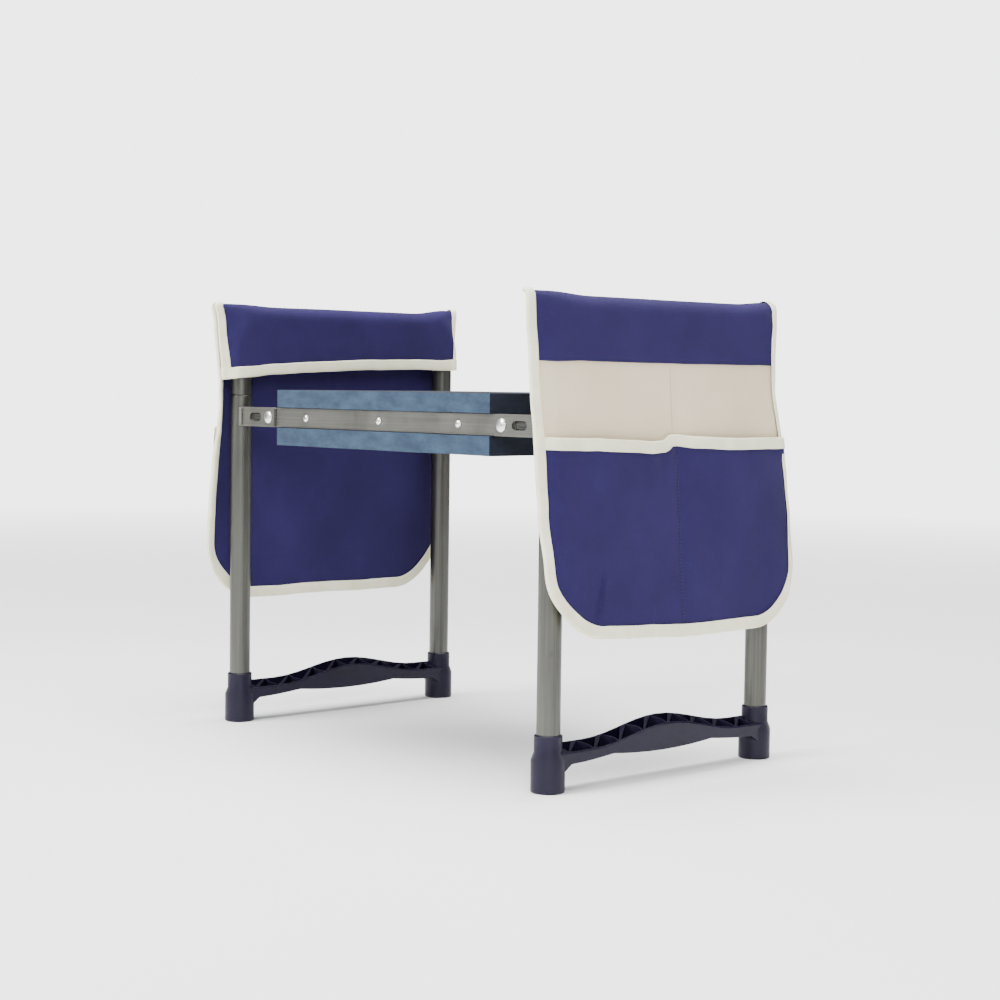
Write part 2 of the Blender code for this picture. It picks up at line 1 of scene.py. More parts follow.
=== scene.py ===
"""Looks of the garden kneeler seat: materials for the frame, foam pads, and two sewn tool pouches.

Metres, +Z up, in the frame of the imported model. A pouch is laid out on a cloth surface: y runs from its
front edge to its rear edge, and t is the distance along the cloth from the crown of the fold over the bow,
negative down the inner flap and positive down the outer side. h is the height off that surface.
"""

import math
import random

import bmesh
import bpy
from mathutils import Matrix, Vector, noise


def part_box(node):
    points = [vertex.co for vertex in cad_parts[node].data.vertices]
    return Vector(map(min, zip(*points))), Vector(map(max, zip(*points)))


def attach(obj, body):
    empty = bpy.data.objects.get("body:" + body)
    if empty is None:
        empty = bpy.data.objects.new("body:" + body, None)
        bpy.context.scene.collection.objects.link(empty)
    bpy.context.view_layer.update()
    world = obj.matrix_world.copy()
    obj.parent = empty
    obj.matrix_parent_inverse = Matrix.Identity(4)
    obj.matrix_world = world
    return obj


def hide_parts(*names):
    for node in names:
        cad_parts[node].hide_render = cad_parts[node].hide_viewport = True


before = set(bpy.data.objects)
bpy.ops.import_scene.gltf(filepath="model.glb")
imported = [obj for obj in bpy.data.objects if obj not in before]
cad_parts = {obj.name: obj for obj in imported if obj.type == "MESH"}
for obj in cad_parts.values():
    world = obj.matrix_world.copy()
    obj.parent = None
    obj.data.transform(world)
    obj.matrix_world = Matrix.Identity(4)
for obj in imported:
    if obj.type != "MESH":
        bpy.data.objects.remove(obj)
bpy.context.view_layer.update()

MM = 0.001
BINDING_WIDTH = 7.6 * MM  # up the sides
BINDING_BOTTOM_WIDTH = 11.0 * MM
TAPE_WIDTH = 10.2 * MM
TAPE_THICKNESS = 0.6 * MM
TAPE_HEIGHT = 1.25 * MM  # from the middle of the outermost cloth to the middle of the tape on it
FLAP_TAPE_HEIGHT = 1.45 * MM
CLOTH_THICKNESS = 1.1 * MM
LAYER = 1.25 * MM  # from the middle of one cloth to the middle of the one sewn on it
TUBE_CLEARANCE = 1.4 * MM  # from the tube's face to the middle of the cloth round it
PANEL_SLOPE = 17.6 / 300  # how fast the outer side stands off from the leg going down
BACK_TOP = 0.424  # heights above the floor
CREAM_TOP = 0.3880
FLAP_EDGE = 0.376
MOUTH = 0.319
BULGE_TOP = 0.320
POCKET_ROWS_TOP = 0.306  # below this the pocket cloth's rows are level
CORNER_POWER = 1.92  # how square the bottom corners are: 2 is round
LINING_SEAM_Y = -0.008
SEAM_RIDGE = 1.4 * MM  # how far the lining's middle seam stands up
STITCH_LENGTH = 2.3 * MM
STITCH_PITCH = 3.3 * MM
STITCH_RADIUS = 0.26 * MM

leg_low, leg_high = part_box("right_front_leg")
bow_low, bow_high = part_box("right_bow")
LEG_X = (leg_low.x + leg_high.x) / 2
LEG_Y = abs(leg_low.y + leg_high.y) / 2
TUBE_RADIUS = (bow_high.x - bow_low.x) / 2
BOW_AXIS = bow_high.z - TUBE_RADIUS
BEND_RADIUS = 0.050
BEND_Y = LEG_Y - BEND_RADIUS
BEND_Z = BOW_AXIS - BEND_RADIUS
FOLD_RADIUS = TUBE_RADIUS + TUBE_CLEARANCE
FOLD_LENGTH = FOLD_RADIUS * math.pi / 2  # from the crown to where the cloth hangs

BACKDROP = (0.95, 0.95, 0.96)
BACKDROP_STRENGTH = 4.2


# --- numbers -------------------------------------------------------------------------------------


def smooth(x):
    x = min(max(x, 0.0), 1.0)
    return x * x * (3 - 2 * x)


def mix(a, b, share):
    return a + (b - a) * share


def bump(x, middle, reach):
    return math.exp(-(((x - middle) / reach) ** 2))


def along(value, stations):
    """Smooth interpolation in millimetres through (place, size, ...) stations in rising order of place."""
    value /= MM
    if value <= stations[0][0]:
        return [size * MM for size in stations[0][1:]]
    for low, high in zip(stations, stations[1:]):
        if value <= high[0]:
            share = (value - low[0]) / (high[0] - low[0])
            share = 0.5 * share + 0.5 * smooth(share)
            return [mix(a, b, share) * MM for a, b in zip(low[1:], high[1:])]
    return [size * MM for size in stations[-1][1:]]


def ripple(y, z, seed, size):
    """Gentle unevenness from -1 to 1 over the cloth, with waves about size metres long."""
    return noise.noise(Vector((y / size, z / size, seed)))


# --- materials -----------------------------------------------------------------------------------


def linear(code):
    """A colour code such as 42406e as linear red, green and blue."""
    values = [int(code[i : i + 2], 16) / 255 for i in (0, 2, 4)]
    return [v / 12.92 if v <= 0.04045 else ((v + 0.055) / 1.055) ** 2.4 for v in values]


class Shader:
    """A material and short calls that add nodes to it."""

    def __init__(self, name, roughness, metallic=0.0, **sockets):
        self.material = bpy.data.materials.new(name)
        self.material.use_nodes = True
        self.tree = self.material.node_tree
        self.principled = self.tree.nodes["Principled BSDF"]
        self.principled.inputs["Roughness"].default_value = roughness
        self.principled.inputs["Metallic"].default_value = metallic
        for socket, value in sockets.items():
            self.principled.inputs[socket.replace("_", " ")].default_value = value

    def node(self, kind, inputs, **settings):
        node = self.tree.nodes.new(kind)
        for setting, value in settings.items():
            setattr(node, setting, value)
        for socket, value in inputs.items():
            if isinstance(value, bpy.types.NodeSocket):
                self.tree.links.new(value, node.inputs[socket])
            else:
                node.inputs[socket].default_value = value
        return node

    def place(self, scale, source="Object"):
        """Coordinates in metres, times scale on each axis."""
        if source == "UV":
            coordinates = self.node("ShaderNodeUVMap", {}).outputs[0]
        else:
            coordinates = self.node("ShaderNodeTexCoord", {}).outputs[source]
        return self.node("ShaderNodeMapping", {"Vector": coordinates, "Scale": scale}).outputs[0]

    def noise(self, place, detail=3.0, roughness=0.55):
        inputs = {"Vector": place, "Scale": 1.0, "Detail": detail, "Roughness": roughness}
        return self.node("ShaderNodeTexNoise", inputs).outputs["Fac"]

    def wave(self, place, axis):
        inputs = {"Vector": place, "Scale": 1.0, "Distortion": 0.6, "Detail": 1.0, "Detail Scale": 0.4}
        return self.node("ShaderNodeTexWave", inputs, bands_direction=axis).outputs["Fac"]

    def ramp(self, value, low, high, out_low=0.0, out_high=1.0):
        inputs = {"Value": value, "From Min": low, "From Max": high, "To Min": out_low, "To Max": out_high}
        return self.node("ShaderNodeMapRange", inputs).outputs["Result"]

    def math(self, operation, a, b):
        return self.node("ShaderNodeMath", {0: a, 1: b}, operation=operation).outputs[0]

    def blend(self, share, a, b):
        """Colour a where share is 0, colour b where it is 1. Each is a colour code or a socket."""
        node = self.node("ShaderNodeMix", {}, data_type="RGBA")
        self.tree.links.new(share, node.inputs["Factor"])
        for socket, colour in (("A", a), ("B", b)):
            target = next(s for s in node.inputs if s.name == socket and s.type == "RGBA")
            if isinstance(colour, str):
                target.default_value = (*linear(colour), 1.0)
            else:
                self.tree.links.new(colour, target)
        return next(s for s in node.outputs if s.type == "RGBA")

    def colour(self, socket):
        self.tree.links.new(socket, self.principled.inputs["Base Color"])

    def roughness(self, socket):
        self.tree.links.new(socket, self.principled.inputs["Roughness"])

    def relief(self, height, depth, strength=1.0):
        inputs = {"Height": height, "Distance": depth, "Strength": strength}
        node = self.node("ShaderNodeBump", inputs)
        self.tree.links.new(node.outputs["Normal"], self.principled.inputs["Normal"])


def painted_steel(name, drawn, dark, light):
    """Warm grey metallic paint: faint streaks the way the steel was drawn, fine flake, light rubs."""
    shader = Shader(name, 0.34, 0.85, Coat_Weight=0.12, Coat_Roughness=0.20)
    streak = shader.noise(shader.place(drawn), 4.0)
    flake = shader.noise(shader.place((2600, 2600, 2600)), 2.0)
    rub = shader.noise(shader.place((38, 38, 22)), 6.0, 0.68)
    tone = shader.blend(shader.ramp(streak, 0.35, 0.65), dark, light)
    tone = shader.blend(shader.ramp(flake, 0.62, 0.78, 0.0, 0.35), tone, "7a7b76")
    tone = shader.blend(shader.ramp(rub, 0.66, 0.76, 0.0, 0.4), tone, "34342f")
    shader.colour(tone)
    shader.roughness(shader.ramp(rub, 0.3, 0.75, 0.30, 0.46))
    shader.relief(flake, 0.03 * MM, 0.35)
    return shader.material


def bright_zinc():
    shader = Shader("bright_zinc_plate", 0.30, 1.0)
    cloud = shader.noise(shader.place((420, 420, 420)), 4.0)
    shader.colour(shader.blend(shader.ramp(cloud, 0.35, 0.65), "e2e3e1", "f6f6f3"))
    shader.roughness(shader.ramp(cloud, 0.3, 0.7, 0.24, 0.40))
    shader.relief(cloud, 0.05 * MM, 0.4)
    return shader.material


def spring_steel():
    shader = Shader("blued_spring_steel", 0.35, 1.0)
    grain = shader.noise(shader.place((60, 900, 900)), 3.0)
    shader.colour(shader.blend(shader.ramp(grain, 0.35, 0.65), "4c4d4c", "6a6b68"))
    shader.roughness(shader.ramp(grain, 0.3, 0.7, 0.28, 0.44))
    shader.relief(grain, 0.04 * MM, 0.4)
    return shader.material


def moulded_plastic():
    """Dark violet moulded plastic: satin, faintly spark-eroded, scuffed a little low down."""
    shader = Shader("dark_violet_moulded_plastic", 0.42, 0.0, Specular_IOR_Level=0.25)
    texture = shader.noise(shader.place((1500, 1500, 1500)), 2.0)
    flow = shader.noise(shader.place((30, 16, 40)), 4.0)
    scuff = shader.noise(shader.place((160, 160, 500)), 6.0, 0.7)
    tone = shader.blend(shader.ramp(flow, 0.3, 0.7), "100b1e", "151028")
    tone = shader.blend(shader.ramp(scuff, 0.68, 0.80, 0.0, 0.35), tone, "322b48")
    shader.colour(tone)
    shader.roughness(shader.ramp(scuff, 0.35, 0.75, 0.36, 0.52))
    shader.relief(texture, 0.05 * MM, 0.45)
    return shader.material


def plywood():
    shader = Shader("seat_board_plywood", 0.75)
    layers = shader.wave(shader.place((1, 1, 130)), "Z")
    grain = shader.noise(shader.place((14, 220, 900)), 5.0)
    tone = shader.blend(shader.ramp(layers, 0.3, 0.7), "8a6a44", "b5946a")
    shader.colour(shader.blend(shader.ramp(grain, 0.4, 0.75, 0.0, 0.6), tone, "6c4e30"))
    shader.relief(grain, 0.15 * MM, 0.5)
    return shader.material


def foam(name, dark, light, scar):
    """Closed-cell foam: cloudy, with fine cells and shallow scuffs."""
    shader = Shader(name, 0.82, 0.0, Sheen_Weight=0.04, Sheen_Roughness=0.5, Specular_IOR_Level=0.25)
    cloud = shader.noise(shader.place((34, 34, 70)), 5.0, 0.62)
    cells = shader.noise(shader.place((1300, 1300, 1300)), 2.0)
    scuff = shader.noise(shader.place((70, 70, 260)), 7.0, 0.72)
    tone = shader.blend(shader.ramp(cloud, 0.32, 0.68), dark, light)
    tone = shader.blend(shader.ramp(scuff, 0.60, 0.74, 0.0, 0.55), tone, scar)
    tone = shader.blend(shader.ramp(cells, 0.60, 0.78, 0.0, 0.35), tone, dark)
    shader.colour(tone)
    height = shader.math("ADD", cells, shader.math("MULTIPLY", scuff, 1.4))
    shader.relief(height, 0.22 * MM, 0.55)
    return shader.material


def woven(name, dark, light, slub, pitch, depth, sheen):
    """Cloth of crossing threads, pitch metres apart, with slubs and a faint unevenness of dye."""
    shader = Shader(name, 0.88, 0.0, Sheen_Weight=sheen, Sheen_Roughness=0.45, Specular_IOR_Level=0.2)
    turns = 1 / (pitch * 3.183)  # the wave texture repeats every pi / 10 units
    threads = shader.place((turns, turns, turns), "UV")
    warp = shader.wave(threads, "X")
    weft = shader.wave(threads, "Y")
    weave = shader.math("MAXIMUM", warp, weft)
    cloud = shader.noise(shader.place((16, 16, 16)), 4.0)
    thick = shader.noise(shader.place((1500, 120, 1), "UV"), 3.0)
    thick_across = shader.noise(shader.place((120, 1500, 1), "UV"), 3.0)
    tone = shader.blend(shader.ramp(cloud, 0.3, 0.7), dark, light)
    # Darker where the weave is low, between the threads: painted shade in the hollows of the weave.
    tone = shader.blend(shader.ramp(weave, 0.2, 0.9, 0.30, 0.0), tone, dark)
    slubs = shader.math("MAXIMUM", thick, thick_across)
    tone = shader.blend(shader.ramp(slubs, 0.64, 0.80, 0.0, 0.5), tone, slub)
    shader.colour(tone)
    shader.relief(shader.math("ADD", weave, slubs), depth, 0.6)
    return shader.material


def ribbed_tape():
    """Cream grosgrain tape: ribs across its length."""
    shader = Shader("cream_grosgrain_tape", 0.85, 0.0, Sheen_Weight=0.05, Sheen_Roughness=0.5)
    ribs = shader.wave(shader.place((1 / (1.1 * MM * 3.183), 1, 1), "UV"), "X")
    thread = shader.noise(shader.place((900, 1500, 1), "UV"), 3.0)
    cloud = shader.noise(shader.place((45, 45, 45)), 4.0)
    tone = shader.blend(shader.ramp(cloud, 0.3, 0.7), "e4e1c0", "f6f4da")
    # Darker in the grooves between the ribs: painted shade.
    tone = shader.blend(shader.ramp(ribs, 0.0, 0.6, 0.35, 0.0), tone, "c0bc9c")
    tone = shader.blend(shader.ramp(thread, 0.62, 0.8, 0.0, 0.4), tone, "fbf9e8")
    shader.colour(tone)
    shader.relief(shader.math("ADD", ribs, thread), 0.12 * MM, 0.6)
    return shader.material


def thread(name, dark, light):
    shader = Shader(name, 0.7, 0.0, Sheen_Weight=0.1)
    twist = shader.noise(shader.place((2500, 2500, 2500)), 2.0)
    shader.colour(shader.blend(shader.ramp(twist, 0.3, 0.7), dark, light))
    return shader.material


def pale_floor():
    """Pale matt floor that fades, as the camera sees it, into the bright backdrop a long way off."""
    shader = Shader("pale_floor", 0.65, Specular_IOR_Level=0.2)
    cloud = shader.noise(shader.place((1.5, 1.5, 1.5)), 2.0)
    shader.colour(shader.blend(shader.ramp(cloud, 0.3, 0.7), "f4f4f4", "f8f8f8"))
    radius = shader.node("ShaderNodeVectorMath", {0: shader.place((1, 1, 1))}, operation="LENGTH")
    glow = shader.node("ShaderNodeEmission", {"Color": (*BACKDROP, 1.0), "Strength": BACKDROP_STRENGTH})
    far = shader.ramp(radius.outputs["Value"], 1.0, 4.0)
    seen = shader.node("ShaderNodeLightPath", {}).outputs["Is Camera Ray"]
    both = shader.node("ShaderNodeMixShader", {"Fac": shader.math("MULTIPLY", far, seen)})
    shader.tree.links.new(shader.principled.outputs[0], both.inputs[1])
    shader.tree.links.new(glow.outputs[0], both.inputs[2])
    output = shader.tree.nodes["Material Output"]
    shader.tree.links.new(both.outputs[0], output.inputs["Surface"])
    return shader.material


TUBE_PAINT = painted_steel("grey_paint_on_tube", (500, 500, 7), "4e4e4a", "5b5b56")
# The strips and brackets carry the same grey paint as the tubes, here in a lighter copy. This is painted
# light, standing in for the light their flat faces catch.
LIT_RAIL_PAINT = painted_steel("grey_paint_on_strip_painted_lighter", (7, 500, 500), "72726d", "7f7f79")
ZINC = bright_zinc()
SPRING = spring_steel()
PLASTIC = moulded_plastic()
PLYWOOD = plywood()
# The pads' front and rear faces take the foam's own tone. Their ends, top and bottom take a darker copy of
# the same foam, which is painted shade where the pouches shadow the pads.
FOAM_FRONT_AND_REAR = foam("slate_blue_foam_front_and_rear", "212f42", "34485c", "111b2c")
FOAM_PAINTED_SHADE = foam("slate_blue_foam_painted_shade", "10151f", "182030", "222b3b")
CANVAS = woven("navy_canvas", "1f1843", "251d4d", "3b3269", 0.55 * MM, 0.16 * MM, 0.02)
LINER = woven("cream_lining", "cfc0a6", "dacbb1", "e6dac4", 0.45 * MM, 0.10 * MM, 0.05)
TAPE = ribbed_tape()
CREAM_THREAD = thread("cream_sewing_thread", "cfccb6", "efeddd")
BEIGE_THREAD = thread("beige_sewing_thread", "9c917c", "b5aa94")
NAVY_THREAD = thread("navy_sewing_thread", "110f34", "1c1948")


# --- frame ---------------------------------------------------------------------------------------


def dress(name, material, edge):
    """Gives a CAD node its material and eases its edges by edge metres."""
    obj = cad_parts[name]
    normals = obj.data.attributes.get("custom_normal")
    if normals:
        obj.data.attributes.remove(normals)
    obj.data.shade_smooth()
    obj.data.materials.clear()
    obj.data.materials.append(material)
    weld = obj.modifiers.new("joined corners", "WELD")
    weld.merge_threshold = 0.002 * MM
    flat = obj.modifiers.new("flat faces", "DECIMATE")
    flat.decimate_type = "DISSOLVE"
    flat.angle_limit = math.radians(0.4)
    ease = obj.modifiers.new("eased edges", "BEVEL")
    ease.width = edge
    ease.segments = 2
    ease.limit_method = "ANGLE"
    ease.angle_limit = math.radians(38)
    ease.use_clamp_overlap = True
    even = obj.modifiers.new("even shading", "WEIGHTED_NORMAL")
    even.mode = "FACE_AREA_WITH_ANGLE"
    even.keep_sharp = True


def dress_frame():
    kinds = (
        ("lock_spring", SPRING, 0.15 * MM),
        ("pivot_rivet", ZINC, 0.2 * MM),
        ("rail_screw", ZINC, 0.15 * MM),
        ("hinge_bracket", LIT_RAIL_PAINT, 0.35 * MM),
        ("_rail", LIT_RAIL_PAINT, 0.3 * MM),
        ("_leg", TUBE_PAINT, 0.2 * MM),
        ("_bow", TUBE_PAINT, 0.2 * MM),
        ("foot_brace", PLASTIC, 0.35 * MM),
        ("seat_board", PLYWOOD, 0.3 * MM),
    )
    for name in sorted(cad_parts):
        for word, material, edge in kinds:
            if word in name:
                dress(name, material, edge)
                break


# --- foam pads -----------------------------------------------------------------------------------

PAD_CUTS = (84, 74, 6)
NICKS = 26


def pad_grid(low, high):
    """A closed block of foam with a fine, even mesh."""
    bm = bmesh.new()
    bmesh.ops.create_cube(bm, size=1.0)
    for axis, cuts in enumerate(PAD_CUTS):
        edges = [e for e in bm.edges if abs((e.verts[0].co - e.verts[1].co)[axis]) > 0.5]
        bmesh.ops.subdivide_edges(bm, edges=edges, cuts=cuts, use_grid_fill=True)
    size = high - low
    middle = (high + low) / 2
    for vert in bm.verts:
        vert.co = Vector([middle[i] + vert.co[i] * size[i] for i in range(3)])
    return bm


def nick_places(low, high, seed):
    """Where the foam's long edges and sawn faces have been knocked."""
    draw = random.Random(seed)
    places = []
    for _ in range(NICKS):
        x = draw.uniform(low.x, high.x)
        y = draw.choice((low.y, high.y))
        z = draw.choice((low.z, high.z, draw.uniform(low.z, high.z)))
        places.append((Vector((x, y, z)), draw.uniform(1.6, 4.2) * MM, draw.uniform(0.3, 1.0) * MM))
    return places


def make_pad(name, node, crown):
    low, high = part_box(node)
    bm = pad_grid(low, high)
    middle = (low + high) / 2
    half = (high - low) / 2
    nicks = nick_places(low, high, 11 + len(name))
    for vert in bm.verts:
        share = [(vert.co[i] - middle[i]) / half[i] for i in range(3)]
        swell = (1 - share[0] ** 2) * (1 - share[1] ** 2)
        vert.co.z += share[2] * swell * crown
        vert.co.y += share[1] * 0.35 * MM * ripple(vert.co.x, vert.co.z, 3.1, 60 * MM)
        vert.co.x += share[0] * 0.35 * MM * ripple(vert.co.y, vert.co.z, 4.7, 50 * MM)
        vert.co.z += share[2] * 0.30 * MM * ripple(vert.co.x, vert.co.y, 6.3, 70 * MM)
        for place, reach, depth in nicks:
            gap = (vert.co - place).length
            if gap < 2 * reach:
                vert.co += (middle - vert.co).normalized() * depth * math.exp(-((gap / reach) ** 2))
    mesh = bpy.data.meshes.new(name)
    for face in bm.faces:
        face.smooth = True
        face.normal_update()
        # Faces turned to the front or rear get the foam's own tone. All other faces get the darker copy,
        # which is painted shade.
        face.material_index = 0 if abs(face.normal.y) > 0.7 else 1
    bm.to_mesh(mesh)
    bm.free()
    obj = add_piece(name, mesh, (FOAM_FRONT_AND_REAR, FOAM_PAINTED_SHADE))
    ease = obj.modifiers.new("eased edges", "BEVEL")
    ease.width = 0.5 * MM
    ease.segments = 3
    ease.limit_method = "ANGLE"
    ease.angle_limit = math.radians(50)
    ease.harden_normals = True
    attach(obj, "seat")
    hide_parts(node)


# --- cloth ---------------------------------------------------------------------------------------


def add_piece(name, data, materials):
    for material in materials:
        data.materials.append(material)
    obj = bpy.data.objects.new(name, data)
    bpy.context.scene.collection.objects.link(obj)
    return obj


def cloth(name, columns, rows, place, size, thickness, materials, flip=False):
    """Cloth on a grid of columns x rows cells. place(i, j) gives each corner, and size the flat size."""
    bm = bmesh.new()
    bmesh.ops.create_grid(bm, x_segments=columns, y_segments=rows, size=0.5)
    layer = bm.loops.layers.uv.new("UVMap")
    for face in bm.faces:
        face.smooth = True
        for loop in face.loops:
            loop[layer].uv = ((loop.vert.co.x + 0.5) * size[0], (loop.vert.co.y + 0.5) * size[1])
    for vert in bm.verts:
        vert.co = place(round((vert.co.x + 0.5) * columns), round((vert.co.y + 0.5) * rows))
    if flip:
        bmesh.ops.reverse_faces(bm, faces=bm.faces)
    mesh = bpy.data.meshes.new(name)
    bm.to_mesh(mesh)
    bm.free()
    obj = add_piece(name, mesh, materials)
    solid = obj.modifiers.new("cloth thickness", "SOLIDIFY")
    solid.thickness = thickness
    solid.offset = 0.0
    solid.material_offset = len(materials) - 1
    solid.material_offset_rim = 0
    return obj


def stitches(name, runs, material):
    """Sewing thread: one short arched stitch for each (start, middle, end) in runs."""
    curve = bpy.data.curves.new(name, "CURVE")
    curve.dimensions = "3D"
    curve.bevel_depth = STITCH_RADIUS
    curve.bevel_resolution = 1
    curve.use_fill_caps = True
    for run in runs:
        spline = curve.splines.new("POLY")
        spline.points.add(len(run) - 1)
        for point, place in zip(spline.points, run):
            point.co = (*place, 1.0)
    return add_piece(name, curve, (material,))


# Each edge: height, Y, and how far the outer side's edge stands out from the leg, in millimetres
POUCHES = {
    "right": {
        "side": 1,
        "front": [
            (134, -168.0, 27),
            (198, -168.0, 24),
            (252, -172.0, 18),
            (305, -172.0, 12),
            (327, -173.5, 11.3),
            (359, -176.0, 10.5),
            (385, -177.5, 9.5),
            (415, -178.5, 7.0),
            (451, -177.0, 3.4),
        ],
        "rear": [
            (134, 159.5, 27),
            (194, 159.5, 25),
            (240, 159.0, 21),
            (301, 153.5, 14),
            (320, 149.8, 12.5),
            (365, 142.5, 13.0),
            (395, 142.5, 12.8),
            (411, 143.5, 12.5),
            (427, 146.5, 10.0),
            (451, 153.5, 3.4),
        ],
        "bottom": 0.1345,
        "lift": [(-175, 6), (-101, 5), (-55, 3), (5, 0), (60, 0), (105, 0.8), (165, 3)],
        "corners": ((-0.101, 0.205), (0.105, 0.192)),
        "ears": (0.4492, 0.4492),
        "flap": [(-172, 371), (-90, 377), (0, 379), (90, 377), (160, 372)],
        "mouth": [
            (-172, 319.4),
            (-114, 318.4),
            (-60, 316.0),
            (-40, 315.0),
            (-23, 315.7),
            (-14, 321.0),
            (-4, 321.5),
            (19, 319.1),
            (71, 317.2),
            (160, 317.3),
        ],
        "seam": ((0.319, -0.004), (0.134, 0.002)),
        "flare": 0.155,
        "flap_inset": (22, 2),
        "seed": 2.3,
    },
    "left": {
        "side": -1,
        "front": [
            (130, -165, 26),
            (190, -165, 25),
            (245, -167, 17),
            (280, -165, 14.5),
            (300, -164, 12),
            (313, -163, 8.5),
            (341, -163.5, 4.5),
            (367, -165, 3.4),
            (420, -171, 3.4),
            (451, -178, 3.4),
        ],
        "rear": [
            (130, 160, 26),
            (195, 160, 25),
            (240, 160, 20),
            (280, 157, 15),
            (330, 154.5, 8),
            (391, 154, 3.6),
            (451, 159, 3.4),
        ],
        "bottom": 0.1298,
        "lift": [(-170, 3), (-104, 0), (-71, -0.8), (-26, 0.4), (44, -0.8), (104, -0.4), (165, 4)],
        "corners": ((-0.104, 0.192), (0.100, 0.195)),
        "ears": (0.4480, 0.4510),
        "flap": [(-172, 368), (-135, 372), (-103, 375.5), (-49, 378.5), (22, 381.8), (96, 383.4), (160, 381)],
        "mouth": [
            (-172, 316.5),
            (-110, 317.5),
            (-45, 315.5),
            (-4, 320.5),
            (15, 319.0),
            (60, 316.0),
            (110, 317.2),
            (165, 319),
        ],
        "seam": ((0.319, 0.004), (0.134, -0.002)),
        "flare": -0.166,
        "flap_inset": (-1, 1),
        "seed": 7.9,
    },
}


class Pouch:
    """One pouch's cloth surface and outline."""

    def __init__(self, word):
        shape = POUCHES[word]
        self.word = word
        self.side = shape["side"]
        self.shape = shape
        self.body = f"{word}_frame"
        self.bottom_t = FOLD_LENGTH + BOW_AXIS - shape["bottom"]

    def world(self, out, y, z):
        return Vector((self.side * (LEG_X + out), y, z))

    def height(self, t):
        """Nominal height above the floor at t, before the fold's and the bottom edge's unevenness."""
        return BOW_AXIS + FOLD_LENGTH - max(abs(t), FOLD_LENGTH)

    def t_at(self, z, inner=False):
        t = FOLD_LENGTH + BOW_AXIS - z
        return -t if inner else t

    def edge(self, y, z):
        """(Y, out) of the pouch's nearer edge at that height."""
        return along(z, self.shape["front" if y < 0 else "rear"])

    def clearance(self, y, z):
        """How far from the legs' plane cloth has to stay to go round the tube."""
        y = abs(y)
        if z <= BEND_Z:
            gap = abs(y - LEG_Y)
        elif y <= BEND_Y:
            gap = abs(z - BOW_AXIS)
        else:
            gap = abs(math.hypot(y - BEND_Y, z - BEND_Z) - BEND_RADIUS)
        return math.sqrt(max(FOLD_RADIUS**2 - gap**2, 0.0))

    def pinch(self, y, z):
        """0 over the frame, 1 at the edge, where nothing holds the two sides apart."""
        edge_y = abs(self.edge(y, z)[0])
        over = TUBE_RADIUS + BEND_RADIUS
        reach = math.sqrt(max(over**2 - (z - BEND_Z) ** 2, 0.0)) if z > BEND_Z else over
        start = min(max(BEND_Y + reach, 0.100), edge_y - 4 * MM)
        return smooth((abs(y) - start) / (edge_y - start))

    def crown(self, y):
        flat = BOW_AXIS + FOLD_RADIUS
        ear = self.shape["ears"][0 if y < 0 else 1]
        share = smooth((abs(y) - 0.097) / 0.048)
        return flat + (ear - flat) * share + 0.25 * MM * ripple(y, 0, self.shape["seed"], 60 * MM)

    def free_out(self, y, z):
        """Where the outer side hangs, away from the tubes."""
        below = max(BOW_AXIS - z, 0.0)
        seed = self.shape["seed"]
        line = FOLD_RADIUS + below * PANEL_SLOPE
        belly = smooth(below / 0.10)
        line += belly * (1.6 * ripple(y, z, seed, 110 * MM) + 0.5 * ripple(y, z, seed + 5, 38 * MM)) * MM
        edge = self.edge(y, z)[1] + 0.5 * MM * belly * ripple(y, z * 1.6, seed + 9, 40 * MM)
        return mix(line, edge, self.pinch(y, z))

    def flap_out(self, y, z):
        below = max(BOW_AXIS - z, 0.0)
        line = FOLD_RADIUS + 0.9 * MM * below / 0.06
        line += 0.9 * MM * smooth(below / 0.04) * ripple(y, z, self.shape["seed"] + 3, 80 * MM)
        return mix(line, 4.2 * MM, self.pinch(y, z))

    def surface(self, y, t, h=0.0):
        """A point on the cloth, h above it on its outer side."""
        ring = max(self.free_out(y, BOW_AXIS), 3.2 * MM)
        centre = self.crown(y) - ring
        if abs(t) <= FOLD_LENGTH:
            angle = t / FOLD_LENGTH * math.pi / 2
            return self.world((ring + h) * math.sin(angle), y, centre + (ring + h) * math.cos(angle))
        drop = abs(t) - FOLD_LENGTH
        z = BOW_AXIS - drop
        lift = (centre - BOW_AXIS) * max(1 - drop / 0.075, 0.0) ** 1.5
        if t < 0:
            out = max(self.flap_out(y, z), self.clearance(y, z + lift))
            return self.world(-(out + h), y, z + lift)
        out = max(self.free_out(y, z), self.clearance(y, z + lift))
        low = 1 - smooth((z - self.shape["bottom"]) / 0.08)
        return self.world(out + h, y, z + lift + low * along(y, self.shape["lift"])[0])

    def limits(self, t):
        """Front and rear Y of the pouch at t, round its bottom corners."""
        z = self.height(t)
        ends = []
        for sign, (corner_y, corner_z) in zip((-1, 1), self.shape["corners"]):
            edge_y = self.edge(sign, max(z, corner_z))[0]
            if t > 0 and z < corner_z:
                share = min((corner_z - z) / (corner_z - self.shape["bottom"]), 1.0)
                left_over = max(1 - share**CORNER_POWER, 0.0) ** (1 / CORNER_POWER)
                edge_y = corner_y + (edge_y - corner_y) * left_over
            if t < 0:
                inset = self.shape["flap_inset"][0 if sign < 0 else 1] * MM
                edge_y -= sign * inset * smooth(-t / 0.024)
            ends.append(edge_y)
        return ends

    def flap_t(self, y):
        return self.t_at(along(y, self.shape["flap"])[0], inner=True)

    def mouth_z(self, y):
        return along(y, self.shape["mouth"])[0]

    def seam_y(self, z):
        (high, at_high), (low, at_low) = self.shape["seam"]
        return mix(at_low, at_high, (z - low) / (high - low))

